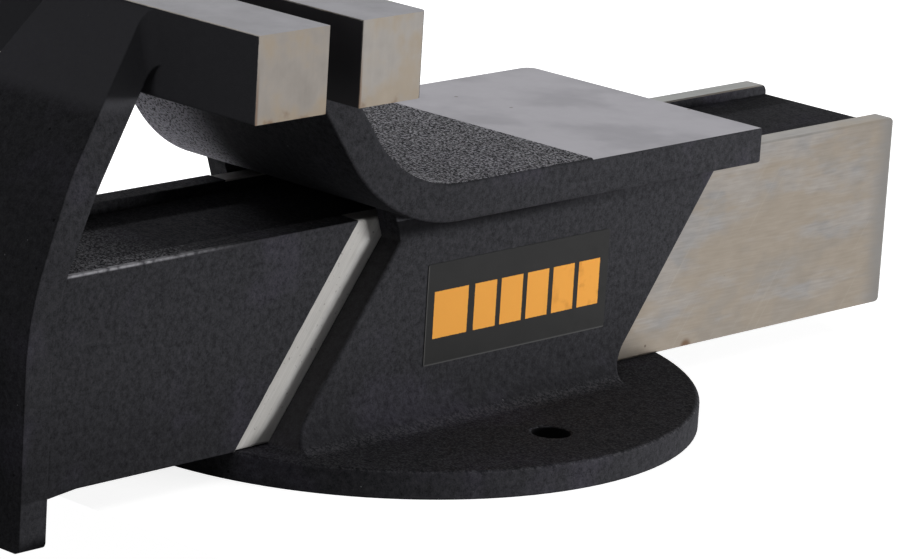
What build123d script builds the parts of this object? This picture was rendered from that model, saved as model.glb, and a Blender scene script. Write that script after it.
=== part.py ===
from build123d import *
import math
import os

os.makedirs("parts", exist_ok=True)

# Bolt-down bench vise. Millimetres, +Z up, +Y towards the rear (along the screw), +X to the
# operator's right. The origin is the centre of the base disc's bottom face.

# ---- driving dimensions --------------------------------------------------------------------

# base disc
base_radius = 150.0
base_thickness = 13.0
base_edge_round = 2.0
bolt_circle_radius = 109.5
bolt_hole_radius = 8.75
bolt_hole_edge_round = 1.5

# side walls of the body, both ends leaning back
body_wall = 12.7
body_front_foot_y = -121.5
body_front_lean = 36.8
body_rear_foot_y = 90.0
body_rear_lean = 36.5
body_edge_round = 2.0
body_foot_fillet = 16.0

# anvil and the swept neck that carries the fixed jaw
anvil_overhang = 15.0
anvil_rear_y = 172.0
anvil_thickness = 17.3
anvil_pad_front_y = 52.7
anvil_pad_step = 0.7
anvil_left_corner_round = 6.0
anvil_right_corner_round = 1.6
anvil_edge_round = 1.5
neck_bend_y = -35.5
neck_inner_radius = 61.7
neck_bend_angle = 56.0
neck_narrowing = 4.0
neck_narrowing_round = 150.0
neck_web_drop = 9.8
neck_web_angle = 19.0

# jaws
jaw_width = 200.0
jaw_height = 38.8
jaw_rise = 89.8
jaw_depth = 39.2
moving_jaw_depth = 41.2
jaw_opening = 20.1
jaw_rear_round = 4.0
fixed_jaw_face_y = -126.2
jaw_plate_thickness = 12.0
jaw_screw_spacing = 124.0
jaw_screw_radius = 4.9
jaw_screw_head_radius = 9.0
jaw_screw_length = 26.0
jaw_screw_socket_width = 6.0
jaw_screw_socket_depth = 3.0
jaw_screw_sink = 0.3

# slide
slide_width = 98.0
slide_height = 96.2
slide_rear_y = 310.7
slide_wall = 11.0
slide_web = 11.0
slide_rail_width = 11.0
slide_rail_end_round = 4.5
slide_trough_depth = 5.5
slide_edge_round = 1.5
slide_side_clearance = 0.3
slide_floor_clearance = 0.3
raw_skin = 0.6
raw_boundary_gap = 20.3
raw_boundary_lean = 36.2
slide_foot_run = 18.0
slide_foot_drop = 2.0

# upright plate of the moving jaw
upright_thickness = 15.0
upright_front_y = -268.0
upright_bottom_z = -10.0
upright_top_below_jaw_top = 1.1
upright_bend_radius = 122.0
upright_lean = 40.0
upright_proud = 2.5
upright_waist_above_slide_top = 20.8
upright_neck_half_width = 28.5
upright_corner_round = 3.0
upright_waist_round = 100.0
upright_boss_radius = 34.0
upright_boss_height = 12.0
upright_boss_round = 2.0
rear_boss_radius = 28.0
rear_boss_proud = 2.0
neck_fillet = 6.0

# lead screw and what holds it in the upright
screw_radius = 16.0
screw_thread_radius = 15.0
screw_rear_y = 285.0
screw_journal_margin = 6.0
screw_head_radius = 26.0
screw_head_length = 50.0
screw_head_round = 5.0
screw_rear_chamfer = 2.0
thrust_washer_radius = 30.0
thrust_washer_thickness = 3.0
spring_length = 22.0
spring_wire_radius = 2.0
spring_radius = 20.0
spring_coils = 4
spring_washer_radius = 26.0
spring_washer_thickness = 3.0
split_pin_radius = 2.4
split_pin_overhang = 9.0
split_pin_eye_radius = 4.6

# lead nut, its seat in the body and its bolts
nut_seat_height = 8.0
nut_front_y = -30.0
nut_length = 70.0
nut_width = 54.0
nut_top_clearance = 8.0
nut_edge_chamfer = 2.0
nut_bolt_spacing = 40.0
nut_bolt_radius = 5.0
nut_bolt_head_radius = 8.0
nut_bolt_head_height = 7.0
nut_bolt_recess = 10.0
nut_bolt_socket_width = 8.0
nut_bolt_socket_depth = 4.0
nut_bolt_below_screw = 7.0
nut_washer_thickness = 2.5
nut_washer_radius = 8.6

# handle
handle_radius = 9.5
handle_length = 250.0
handle_knob_radius = 15.0
handle_knob_length = 26.0
handle_knob_grip = 14.0
handle_knob_round = 5.0
handle_rest_gap = 0.4

# label
label_length = 121.5
label_height = 48.0
label_thickness = 0.4
label_centre_y = 23.2
label_above_floor = 49.6
label_corner_round = 1.0

# fits, and how far cuts run past what they cut
running_clearance = 0.08
loose_clearance = 0.3
blind_hole_margin = 1.0
cut_margin = 1.0
same_place = 0.01

# ---- sizes worked out from them --------------------------------------------------------------

slide_bottom_z = base_thickness + slide_floor_clearance
slide_top_z = slide_bottom_z + slide_height
slide_half_width = slide_width / 2
trough_half_width = slide_half_width - slide_rail_width
hollow_half_width = slide_half_width - slide_wall
hollow_top_z = slide_top_z - slide_trough_depth - slide_web
rail_end_round = min(slide_rail_end_round, slide_trough_depth - cut_margin)

channel_width = slide_width + 2 * slide_side_clearance
body_width = channel_width + 2 * body_wall
body_foot_spread = body_foot_fillet + cut_margin
anvil_width = body_width + 2 * anvil_overhang
anvil_under_z = slide_top_z + slide_floor_clearance
anvil_top_z = anvil_under_z + anvil_thickness
body_wall_height = anvil_under_z - base_thickness
body_run = anvil_rear_y - body_front_foot_y

jaw_top_z = anvil_top_z + jaw_rise
jaw_bottom_z = jaw_top_z - jaw_height
jaw_middle_z = (jaw_bottom_z + jaw_top_z) / 2
jaw_screw_hole_depth = jaw_screw_length - jaw_plate_thickness + blind_hole_margin
fixed_bar_front_y = fixed_jaw_face_y + jaw_plate_thickness
fixed_bar_rear_y = fixed_jaw_face_y + jaw_depth
moving_jaw_face_y = fixed_jaw_face_y - jaw_opening
moving_bar_rear_y = moving_jaw_face_y - jaw_plate_thickness
moving_bar_front_y = moving_jaw_face_y - moving_jaw_depth

upright_rear_y = upright_front_y + upright_thickness
upright_half_width = slide_half_width + upright_proud
upright_waist_z = slide_top_z + upright_waist_above_slide_top
slide_run = slide_rear_y - upright_rear_y
slide_middle_y = (slide_rear_y + upright_rear_y) / 2
raw_boundary_foot_y = body_front_foot_y - raw_boundary_gap

nut_seat_z = base_thickness + nut_seat_height
screw_axis_z = (nut_seat_z + hollow_top_z) / 2
boss_face_y = upright_front_y - upright_boss_height
head_rear_y = boss_face_y - thrust_washer_thickness - loose_clearance
head_front_y = head_rear_y - screw_head_length
handle_axis_y = (head_rear_y + head_front_y) / 2

# the bend's height follows from where the upright's front meets the front of the jaw bar
upright_outer_radius = upright_bend_radius + upright_thickness
upright_lean_turn = math.radians(upright_lean)
upright_bend_run = upright_outer_radius * (1 - math.cos(upright_lean_turn))
upright_lean_run = moving_bar_front_y - upright_front_y - upright_bend_run
upright_rise = upright_outer_radius * math.sin(upright_lean_turn)
upright_rise += upright_lean_run / math.tan(upright_lean_turn)
upright_bend_z = jaw_top_z - upright_top_below_jaw_top - upright_rise

# the rear boss stands clear of the bend, which sets back the upright's rear face beside it
rear_boss_rise = max(screw_axis_z + rear_boss_radius - upright_bend_z, 0)
rear_boss_bend = upright_bend_radius - math.sqrt(upright_bend_radius**2 - rear_boss_rise**2)
rear_boss_height = rear_boss_proud + rear_boss_bend
spring_front_y = upright_rear_y + rear_boss_height + loose_clearance
spring_rear_y = spring_front_y + spring_length
spring_rise = spring_length - 2 * spring_wire_radius
split_pin_y = spring_rear_y + spring_washer_thickness + split_pin_radius + running_clearance
split_pin_eye_centre = split_pin_eye_radius - split_pin_radius / 2
journal_rear_y = split_pin_y + split_pin_radius + screw_journal_margin

nut_centre_y = nut_front_y + nut_length / 2
nut_top_z = hollow_top_z - nut_top_clearance
nut_bolt_seat_z = nut_bolt_recess - nut_washer_thickness
nut_bolt_end_z = screw_axis_z - screw_thread_radius - nut_bolt_below_screw

align_top = (Align.CENTER, Align.MAX)


def lean_run(height, angle):
    """Horizontal run of a face that leans by angle over height."""
    return height * math.tan(math.radians(angle))


def across(y):
    """Plane across the slide at y that looks to the front, with x along +X and y along +Z."""
    return Plane.XZ.offset(-y)


def jaw_plane(y, facing):
    """Plane at y on the jaws' centre, looking along facing (-1 front, 1 rear)."""
    return Plane(origin=(0, y, jaw_middle_z), x_dir=(1, 0, 0), z_dir=(0, facing, 0))


def on_circle(centre, radius, angle):
    """Point at angle (degrees from +local x) on a circle."""
    turn = math.radians(angle)
    return (centre[0] + radius * math.cos(turn), centre[1] + radius * math.sin(turn))


def up_the_neck(start, height):
    """Where a line along the fixed neck's slope reaches a height."""
    return (start[0] - (height - start[1]) / math.tan(math.radians(neck_bend_angle)), height)


def up_the_lean(start, y):
    """Where a line along the moving upright's lean reaches y."""
    return (y, start[1] + (y - start[0]) / math.tan(math.radians(upright_lean)))


def lying_at(shapes, axis, place):
    """The edges whose middles lie at one place along an axis."""
    return shapes.filter_by_position(axis, place - same_place, place + same_place)


# ---- fixed body -------------------------------------------------------------------------------

neck_centre = (neck_bend_y, anvil_top_z + neck_inner_radius)
neck_outer_radius = neck_inner_radius + anvil_thickness
neck_raw_radius = neck_inner_radius - anvil_pad_step
neck_end_angle = -90 - neck_bend_angle
neck_raw_end = on_circle(neck_centre, neck_raw_radius, neck_end_angle)
neck_outer_end = on_circle(neck_centre, neck_outer_radius, neck_end_angle)
anvil_raw_z = anvil_top_z + anvil_pad_step
neck_front_half_width = anvil_width / 2 - lean_run(neck_bend_y - fixed_jaw_face_y, neck_narrowing)
web_inner_x = slide_half_width + raw_skin + slide_side_clearance
web_foot_height = body_wall_height - neck_web_drop
web_foot_z = base_thickness + web_foot_height

with BuildPart() as body_walls:
    # cross-section of the body with its flared feet, sunk into the disc, run along the slide
    with BuildSketch(across(anvil_rear_y)):
        with Locations((0, (base_thickness + anvil_under_z) / 2)):
            Rectangle(body_width, body_wall_height)
        with Locations((0, base_thickness)):
            Rectangle(body_width + 2 * body_foot_spread, base_thickness, align=align_top)
        inner = [v for v in vertices() if abs(abs(v.X) - body_width / 2) < same_place]
        fillet([v for v in inner if abs(v.Y - base_thickness) < same_place], body_foot_fillet)
    extrude(amount=body_run + cut_margin)
    # both ends lean back
    with BuildSketch(Plane.YZ):
        with BuildLine():
            Polyline(
                (body_front_foot_y, base_thickness),
                (body_front_foot_y + lean_run(body_wall_height, body_front_lean), anvil_under_z),
                (body_rear_foot_y + lean_run(body_wall_height, body_rear_lean), anvil_under_z),
                (body_rear_foot_y, base_thickness),
                (body_rear_foot_y, base_thickness / 2),
                (body_front_foot_y, base_thickness / 2),
                close=True,
            )
        make_face()
    extrude(amount=body_width, both=True, mode=Mode.INTERSECT)
    wall_edges = body_walls.edges().filter_by(GeomType.LINE).filter_by(
        lambda edge: abs(abs(edge.center().X) - body_width / 2) < same_place
    )
    leaning_edges = [edge for edge in wall_edges if abs(edge.tangent_at(0.5).Z) > 0.5]
    fillet(leaning_edges, body_edge_round)
    # webs that brace the neck on the front edges of both walls
    with BuildSketch(Plane.YZ.offset(web_inner_x), Plane.YZ.offset(-body_width / 2)):
        with BuildLine():
            Polyline(
                (body_front_foot_y + lean_run(web_foot_height, body_front_lean), web_foot_z),
                on_circle(neck_centre, neck_outer_radius, -90 - neck_web_angle),
                on_circle(neck_centre, neck_inner_radius, -90 - neck_web_angle),
                (neck_bend_y, anvil_under_z),
                close=True,
            )
        make_face()
    extrude(amount=body_width / 2 - web_inner_x)

with BuildPart() as anvil:
    # anvil plate, its bend and the slanted neck in one profile
    with BuildSketch(Plane.YZ):
        with BuildLine():
            neck_raw_top = up_the_neck(neck_raw_end, jaw_bottom_z)
            neck_outer_top = up_the_neck(neck_outer_end, jaw_bottom_z)
            Line((neck_bend_y, anvil_under_z), (anvil_rear_y, anvil_under_z))
            Line((anvil_rear_y, anvil_under_z), (anvil_rear_y, anvil_raw_z))
            Line((anvil_rear_y, anvil_raw_z), (neck_bend_y, anvil_raw_z))
            CenterArc(neck_centre, neck_raw_radius, -90, -neck_bend_angle)
            Line(neck_raw_end, neck_raw_top)
            Line(neck_raw_top, neck_outer_top)
            Line(neck_outer_top, neck_outer_end)
            CenterArc(neck_centre, neck_outer_radius, neck_end_angle, neck_bend_angle)
        make_face()
    extrude(amount=anvil_width / 2, both=True)
    # seen from above the neck narrows towards the jaw
    with BuildSketch(Plane.XY.offset(anvil_under_z)):
        with BuildLine():
            Polyline(
                (-anvil_width / 2, anvil_rear_y),
                (anvil_width / 2, anvil_rear_y),
                (anvil_width / 2, neck_bend_y),
                (neck_front_half_width, fixed_jaw_face_y),
                (-neck_front_half_width, fixed_jaw_face_y),
                (-anvil_width / 2, neck_bend_y),
                close=True,
            )
        make_face()
        bend = [v for v in vertices() if abs(v.Y - neck_bend_y) < same_place]
        fillet(bend, neck_narrowing_round)
        rear = vertices().group_by(Axis.Y)[-1].sort_by(Axis.X)
        fillet(rear[0], anvil_left_corner_round)
        fillet(rear[-1], anvil_right_corner_round)
    extrude(amount=jaw_top_z - anvil_under_z, mode=Mode.INTERSECT)
    side_edges = anvil.edges().filter_by(
        lambda edge: abs(edge.center().X) > neck_front_half_width - same_place
    ).filter_by_position(Axis.Z, 0, jaw_bottom_z - same_place)
    corner_y = anvil_rear_y - max(anvil_left_corner_round, anvil_right_corner_round)
    upper_and_lower = [edge for edge in side_edges if edge.center().Y < corner_y]
    fillet(upper_and_lower, anvil_edge_round)
    # the machined pad lies a little lower than the raw casting
    with BuildSketch(Plane.XY.offset(anvil_top_z)):
        with Locations((0, (anvil_pad_front_y + anvil_rear_y) / 2)):
            Rectangle(anvil_width, anvil_rear_y - anvil_pad_front_y)
    extrude(amount=anvil_pad_step, mode=Mode.SUBTRACT)

with BuildPart() as fixed_body:
    # round base disc
    with BuildSketch(Plane.XY):
        Circle(base_radius)
    extrude(amount=base_thickness)
    fillet(fixed_body.edges().filter_by(GeomType.CIRCLE).group_by(Axis.Z)[-1], base_edge_round)
    add(body_walls.part)
    add(anvil.part)
    # fixed jaw bar behind its plate
    with BuildSketch(Plane.YZ):
        with Locations(((fixed_bar_front_y + fixed_bar_rear_y) / 2, jaw_middle_z)):
            Rectangle(fixed_bar_rear_y - fixed_bar_front_y, jaw_height)
    extrude(amount=jaw_width / 2, both=True)
    upright_edges = fixed_body.edges().filter_by(Axis.Z)
    fillet(lying_at(upright_edges, Axis.Y, fixed_bar_rear_y), jaw_rear_round)
    # channel for the slide, open at both ends, with the nut's raised seat left on its floor
    with BuildSketch(across(anvil_rear_y)):
        with Locations((0, (base_thickness + anvil_under_z) / 2)):
            Rectangle(channel_width, body_wall_height)
    extrude(amount=body_run + cut_margin, mode=Mode.SUBTRACT)
    with BuildSketch(Plane.XY.offset(base_thickness)):
        with Locations((0, nut_centre_y)):
            Rectangle(nut_width, nut_length)
    extrude(amount=nut_seat_height)
    # bolt holes of the base, one at each side
    with BuildSketch(Plane.XY):
        with PolarLocations(bolt_circle_radius, 2):
            Circle(bolt_hole_radius)
    extrude(amount=base_thickness, mode=Mode.SUBTRACT)
    hole_rims = fixed_body.edges().filter_by(GeomType.CIRCLE).filter_by(
        lambda edge: abs(edge.radius - bolt_hole_radius) < same_place
    ).group_by(Axis.Z)[-1]
    fillet(hole_rims, bolt_hole_edge_round)
    # counterbored holes for the nut's bolts, from below
    with Locations(Plane(origin=(0, nut_centre_y, 0), z_dir=(0, 0, -1))):
        with GridLocations(1, nut_bolt_spacing, 1, 2):
            CounterBoreHole(
                nut_bolt_radius + running_clearance,
                nut_washer_radius + loose_clearance,
                nut_bolt_recess,
                nut_seat_z,
            )
    # threaded holes for the jaw plate's screws
    with Locations(jaw_plane(fixed_bar_front_y, -1)):
        with GridLocations(jaw_screw_spacing, 1, 2, 1):
            Hole(jaw_screw_radius + running_clearance, jaw_screw_hole_depth)

fixed_body.part.label = "fixed_body"
export_step(fixed_body.part, "parts/fixed_body.step")

# ---- label ------------------------------------------------------------------------------------

with BuildPart() as label_plate:
    with BuildSketch(Plane.YZ.offset(body_width / 2)):
        with Locations((label_centre_y, base_thickness + label_above_floor)):
            RectangleRounded(label_length, label_height, label_corner_round)
    extrude(amount=label_thickness)

label_plate.part.label = "label_plate"
export_step(label_plate.part, "parts/label_plate.step")

# ---- moving jaw -------------------------------------------------------------------------------

upright_centre = (upright_rear_y + upright_bend_radius, upright_bend_z)
upright_rear_end = on_circle(upright_centre, upright_bend_radius, 180 - upright_lean)
upright_front_end = on_circle(upright_centre, upright_outer_radius, 180 - upright_lean)

with BuildPart() as upright:
    # plate of even thickness: straight up, then bent back into the jaw bar
    with BuildSketch(Plane.YZ):
        with BuildLine():
            rear_top = up_the_lean(upright_rear_end, moving_bar_front_y)
            front_top = up_the_lean(upright_front_end, moving_bar_front_y)
            rear_root = (moving_bar_rear_y, rear_top[1])
            front_root = (moving_bar_rear_y, front_top[1])
            Line((upright_rear_y, upright_bottom_z), (upright_rear_y, upright_bend_z))
            CenterArc(upright_centre, upright_bend_radius, 180, -upright_lean)
            Line(upright_rear_end, rear_top)
            Line(rear_top, rear_root)
            Line(rear_root, front_root)
            Line(front_root, front_top)
            Line(front_top, upright_front_end)
            CenterArc(upright_centre, upright_outer_radius, 180 - upright_lean, upright_lean)
            Line((upright_front_y, upright_bend_z), (upright_front_y, upright_bottom_z))
            Line((upright_front_y, upright_bottom_z), (upright_rear_y, upright_bottom_z))
        make_face()
    extrude(amount=upright_half_width, both=True)
    # seen from the front it narrows from the slide up to the jaw bar
    with BuildSketch(across(moving_bar_rear_y)):
        with BuildLine():
            Polyline(
                (-upright_half_width, upright_bottom_z),
                (upright_half_width, upright_bottom_z),
                (upright_half_width, upright_waist_z),
                (upright_neck_half_width, jaw_top_z),
                (-upright_neck_half_width, jaw_top_z),
                (-upright_half_width, upright_waist_z),
                close=True,
            )
        make_face()
        feet = [v for v in vertices() if abs(v.Y - upright_bottom_z) < same_place]
        fillet(feet, upright_corner_round)
        waist = [v for v in vertices() if abs(v.Y - upright_waist_z) < same_place]
        fillet(waist, upright_waist_round)
    extrude(amount=moving_bar_rear_y - boss_face_y, mode=Mode.INTERSECT)

with BuildPart() as raw_slide:
    # painted front part of the slide, left as cast: a skin proud of the machined faces
    with BuildSketch(Plane.YZ):
        with BuildLine():
            Polyline(
                (raw_boundary_foot_y, slide_bottom_z),
                (raw_boundary_foot_y + lean_run(slide_height, raw_boundary_lean), slide_top_z),
                (upright_rear_y, slide_top_z),
                (upright_rear_y, slide_bottom_z - slide_foot_drop),
                (upright_rear_y + slide_foot_run, slide_bottom_z),
                close=True,
            )
        make_face()
    extrude(amount=slide_half_width + raw_skin, both=True)

with BuildPart() as moving_jaw:
    # machined box slide
    with BuildSketch(across(slide_rear_y)):
        with Locations((0, (slide_bottom_z + slide_top_z) / 2)):
            RectangleRounded(slide_width, slide_height, slide_edge_round)
    extrude(amount=slide_run)
    add(raw_slide.part)
    # trough along the top, open at the rear
    with BuildSketch(Plane.XY.offset(slide_top_z)):
        with Locations((0, slide_middle_y)):
            Rectangle(2 * trough_half_width, slide_run)
    extrude(amount=-slide_trough_depth, mode=Mode.SUBTRACT)
    top_edges = lying_at(moving_jaw.edges().filter_by(Axis.X), Axis.Z, slide_top_z)
    fillet(top_edges.group_by(Axis.Y)[-1], rail_end_round)
    # hollow from below, for the screw and its nut
    with BuildSketch(Plane.XY.offset(slide_bottom_z)):
        with Locations((0, slide_middle_y)):
            Rectangle(2 * hollow_half_width, slide_run)
    extrude(amount=hollow_top_z - slide_bottom_z, mode=Mode.SUBTRACT)
    add(upright.part)
    # jaw bar behind its plate
    with BuildSketch(Plane.YZ):
        with Locations(((moving_bar_front_y + moving_bar_rear_y) / 2, jaw_middle_z)):
            Rectangle(moving_bar_rear_y - moving_bar_front_y, jaw_height)
    extrude(amount=jaw_width / 2, both=True)
    # soft corners where the neck runs into the front of the bar
    bar_front_edges = lying_at(moving_jaw.edges(), Axis.Y, moving_bar_front_y)
    neck_corners = bar_front_edges.filter_by(
        lambda edge: abs(edge.center().X) < upright_half_width and abs(edge.tangent_at(0.5).Z) > 0.5
    )
    fillet(neck_corners, neck_fillet)
    # boss that the screw turns in
    with BuildSketch(across(upright_front_y)):
        with Locations((0, screw_axis_z)):
            Circle(upright_boss_radius)
    extrude(amount=upright_boss_height)
    boss_rim = moving_jaw.edges().filter_by(GeomType.CIRCLE).group_by(Axis.Y)[0]
    fillet(boss_rim, upright_boss_round)
    with BuildSketch(across(upright_rear_y + rear_boss_height)):
        with Locations((0, screw_axis_z)):
            Circle(rear_boss_radius)
    extrude(amount=rear_boss_height + upright_thickness / 2)
    with Locations(across(boss_face_y)):
        with Locations((0, screw_axis_z)):
            Hole(
                screw_radius + running_clearance,
                upright_boss_height + upright_thickness + rear_boss_height,
            )
    # threaded holes for the jaw plate's screws
    with Locations(jaw_plane(moving_bar_rear_y, 1)):
        with GridLocations(jaw_screw_spacing, 1, 2, 1):
            Hole(jaw_screw_radius + running_clearance, jaw_screw_hole_depth)

moving_jaw.part.label = "moving_jaw"
export_step(moving_jaw.part, "parts/moving_jaw.step")


# ---- jaw plates and their screws ----------------------------------------------------------------

def jaw_plate(face_y, facing):
    """Ground steel plate whose gripping face lies at face_y and looks along facing."""
    face = jaw_plane(face_y, facing)
    with BuildPart() as plate:
        with BuildSketch(face):
            Rectangle(jaw_width, jaw_height)
        extrude(amount=-jaw_plate_thickness)
        with Locations(face):
            with GridLocations(jaw_screw_spacing, 1, 2, 1):
                CounterSinkHole(
                    jaw_screw_radius + loose_clearance,
                    jaw_screw_head_radius + loose_clearance,
                    jaw_plate_thickness,
                )
    return plate.part


def jaw_screws(face_y, facing):
    """Countersunk socket screws, their heads just under the gripping face."""
    seat = jaw_plane(face_y - facing * jaw_screw_sink, facing)
    head_height = jaw_screw_head_radius - jaw_screw_radius
    with BuildPart() as screws:
        with BuildSketch(seat):
            with GridLocations(jaw_screw_spacing, 1, 2, 1):
                Circle(jaw_screw_radius)
        extrude(amount=-jaw_screw_length)
        with Locations(seat):
            with GridLocations(jaw_screw_spacing, 1, 2, 1):
                Cone(
                    jaw_screw_radius,
                    jaw_screw_head_radius,
                    head_height,
                    align=(Align.CENTER, Align.CENTER, Align.MAX),
                )
        with BuildSketch(seat):
            with GridLocations(jaw_screw_spacing, 1, 2, 1):
                RegularPolygon(jaw_screw_socket_width / 2, 6, major_radius=False)
        extrude(amount=-jaw_screw_socket_depth, mode=Mode.SUBTRACT)
    return screws.part


for side, face_y, facing in (("fixed", fixed_jaw_face_y, -1), ("moving", moving_jaw_face_y, 1)):
    plate_part = jaw_plate(face_y, facing)
    plate_part.label = side + "_jaw_plate"
    export_step(plate_part, "parts/" + side + "_jaw_plate.step")
    screw_part = jaw_screws(face_y, facing)
    screw_part.label = side + "_jaw_screws"
    export_step(screw_part, "parts/" + side + "_jaw_screws.step")

# ---- lead screw -------------------------------------------------------------------------------

screw_plane = Plane(origin=(0, head_rear_y, screw_axis_z), z_dir=(0, 1, 0))

with BuildPart() as lead_screw:
    with BuildSketch(screw_plane):
        Circle(screw_head_radius)
    extrude(amount=-screw_head_length)
    fillet(lead_screw.edges().filter_by(GeomType.CIRCLE), screw_head_round)
    with BuildSketch(screw_plane):
        Circle(screw_radius)
    extrude(amount=journal_rear_y - head_rear_y)
    with BuildSketch(screw_plane):
        Circle(screw_thread_radius)
    extrude(amount=screw_rear_y - head_rear_y)
    tip = lead_screw.edges().filter_by(GeomType.CIRCLE).sort_by(Axis.Y)[-1]
    chamfer(tip, screw_rear_chamfer)
    # cross hole for the handle
    with Locations(Plane(origin=(screw_head_radius, handle_axis_y, screw_axis_z), z_dir=(1, 0, 0))):
        Hole(handle_radius + running_clearance, 2 * screw_head_radius)
    # cross hole for the split pin
    with Locations(Plane(origin=(0, split_pin_y, screw_axis_z + screw_radius), z_dir=(0, 0, 1))):
        Hole(split_pin_radius, 2 * screw_radius)

lead_screw.part.label = "lead_screw"
export_step(lead_screw.part, "parts/lead_screw.step")

with BuildPart() as thrust_washer:
    with BuildSketch(across(boss_face_y)):
        with Locations((0, screw_axis_z)):
            Circle(thrust_washer_radius)
            Circle(screw_radius + loose_clearance, mode=Mode.SUBTRACT)
    extrude(amount=thrust_washer_thickness)

thrust_washer.part.label = "thrust_washer"
export_step(thrust_washer.part, "parts/thrust_washer.step")

with BuildPart() as take_up_spring:
    with BuildLine():
        coil = Helix(
            pitch=spring_rise / spring_coils,
            height=spring_rise,
            radius=spring_radius,
            center=(0, spring_front_y + spring_wire_radius, screw_axis_z),
            direction=(0, 1, 0),
        )
    with BuildSketch(Plane(origin=coil @ 0, z_dir=coil % 0)):
        Circle(spring_wire_radius)
    sweep(is_frenet=True)

take_up_spring.part.label = "take_up_spring"
export_step(take_up_spring.part, "parts/take_up_spring.step")

with BuildPart() as spring_washer:
    with BuildSketch(across(spring_rear_y)):
        with Locations((0, screw_axis_z)):
            Circle(spring_washer_radius)
            Circle(screw_radius + loose_clearance, mode=Mode.SUBTRACT)
    extrude(amount=-spring_washer_thickness)

spring_washer.part.label = "spring_washer"
export_step(spring_washer.part, "parts/spring_washer.step")

with BuildPart() as split_pin:
    # shank down through the screw, and the eye that stands on it
    with BuildSketch(Plane.XY.offset(screw_axis_z - screw_radius - split_pin_overhang)):
        with Locations((0, split_pin_y)):
            Circle(split_pin_radius - running_clearance)
    extrude(amount=2 * screw_radius + 2 * split_pin_overhang - split_pin_eye_centre)
    with BuildSketch(across(split_pin_y)):
        with Locations((0, screw_axis_z + screw_radius + split_pin_overhang)):
            Circle(split_pin_eye_radius)
            Circle(split_pin_eye_radius - split_pin_radius, mode=Mode.SUBTRACT)
    extrude(amount=split_pin_radius / 2, both=True)

split_pin.part.label = "split_pin"
export_step(split_pin.part, "parts/split_pin.step")

# ---- lead nut and its bolts -------------------------------------------------------------------

with BuildPart() as lead_nut:
    with BuildSketch(across(nut_front_y)):
        with Locations((0, (nut_seat_z + nut_top_z) / 2)):
            Rectangle(nut_width, nut_top_z - nut_seat_z)
    extrude(amount=-nut_length)
    chamfer(lead_nut.edges().filter_by(Axis.Y).group_by(Axis.Z)[-1], nut_edge_chamfer)
    with Locations(Plane(origin=(0, nut_front_y, screw_axis_z), z_dir=(0, -1, 0))):
        Hole(screw_thread_radius + running_clearance, nut_length)
    with Locations(Plane(origin=(0, nut_centre_y, nut_seat_z), z_dir=(0, 0, -1))):
        with GridLocations(1, nut_bolt_spacing, 1, 2):
            Hole(
                nut_bolt_radius + running_clearance,
                nut_bolt_end_z - nut_seat_z + blind_hole_margin,
            )

lead_nut.part.label = "lead_nut"
export_step(lead_nut.part, "parts/lead_nut.step")

with BuildPart() as nut_bolts:
    with BuildSketch(Plane.XY.offset(nut_bolt_seat_z)):
        with Locations((0, nut_centre_y)):
            with GridLocations(1, nut_bolt_spacing, 1, 2):
                Circle(nut_bolt_radius)
    extrude(amount=nut_bolt_end_z - nut_bolt_seat_z)
    with BuildSketch(Plane.XY.offset(nut_bolt_seat_z)):
        with Locations((0, nut_centre_y)):
            with GridLocations(1, nut_bolt_spacing, 1, 2):
                Circle(nut_bolt_head_radius)
    extrude(amount=-nut_bolt_head_height)
    with BuildSketch(Plane.XY.offset(nut_bolt_seat_z - nut_bolt_head_height)):
        with Locations((0, nut_centre_y)):
            with GridLocations(1, nut_bolt_spacing, 1, 2):
                RegularPolygon(nut_bolt_socket_width / 2, 6, major_radius=False)
    extrude(amount=nut_bolt_socket_depth, mode=Mode.SUBTRACT)

nut_bolts.part.label = "nut_bolts"
export_step(nut_bolts.part, "parts/nut_bolts.step")

with BuildPart() as nut_lock_washers:
    with BuildSketch(Plane.XY.offset(nut_bolt_seat_z)):
        with Locations((0, nut_centre_y)):
            with GridLocations(1, nut_bolt_spacing, 1, 2):
                Circle(nut_washer_radius)
                Circle(nut_bolt_radius + running_clearance, mode=Mode.SUBTRACT)
    extrude(amount=nut_washer_thickness)

nut_lock_washers.part.label = "nut_lock_washers"
export_step(nut_lock_washers.part, "parts/nut_lock_washers.step")

# ---- handle -----------------------------------------------------------------------------------

# the bar is stored pushed through to the left, its right knob beside the screw's head
knob_inner_x = screw_head_radius + handle_rest_gap
bar_right_x = knob_inner_x + handle_knob_grip
bar_left_x = bar_right_x - handle_length

with BuildPart() as handle_bar:
    with BuildSketch(Plane.YZ.offset(bar_left_x)):
        with Locations((handle_axis_y, screw_axis_z)):
            Circle(handle_radius)
    extrude(amount=handle_length)

handle_bar.part.label = "handle_bar"
export_step(handle_bar.part, "parts/handle_bar.step")


def handle_knob(inner_x, outward):
    """Knob pressed on an end of the bar, its inner face at inner_x."""
    with BuildPart() as knob:
        with BuildSketch(Plane.YZ.offset(inner_x)):
            with Locations((handle_axis_y, screw_axis_z)):
                Circle(handle_knob_radius)
        extrude(amount=outward * handle_knob_length)
        fillet(knob.edges().filter_by(GeomType.CIRCLE), handle_knob_round)
        with BuildSketch(Plane.YZ.offset(inner_x)):
            with Locations((handle_axis_y, screw_axis_z)):
                Circle(handle_radius + running_clearance)
        extrude(amount=outward * handle_knob_grip, mode=Mode.SUBTRACT)
    return knob.part


left_knob_x = bar_left_x + handle_knob_grip
for side, inner_x, outward in (("right", knob_inner_x, 1), ("left", left_knob_x, -1)):
    knob_part = handle_knob(inner_x, outward)
    knob_part.label = "handle_knob_" + side
    export_step(knob_part, "parts/handle_knob_" + side + ".step")
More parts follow.
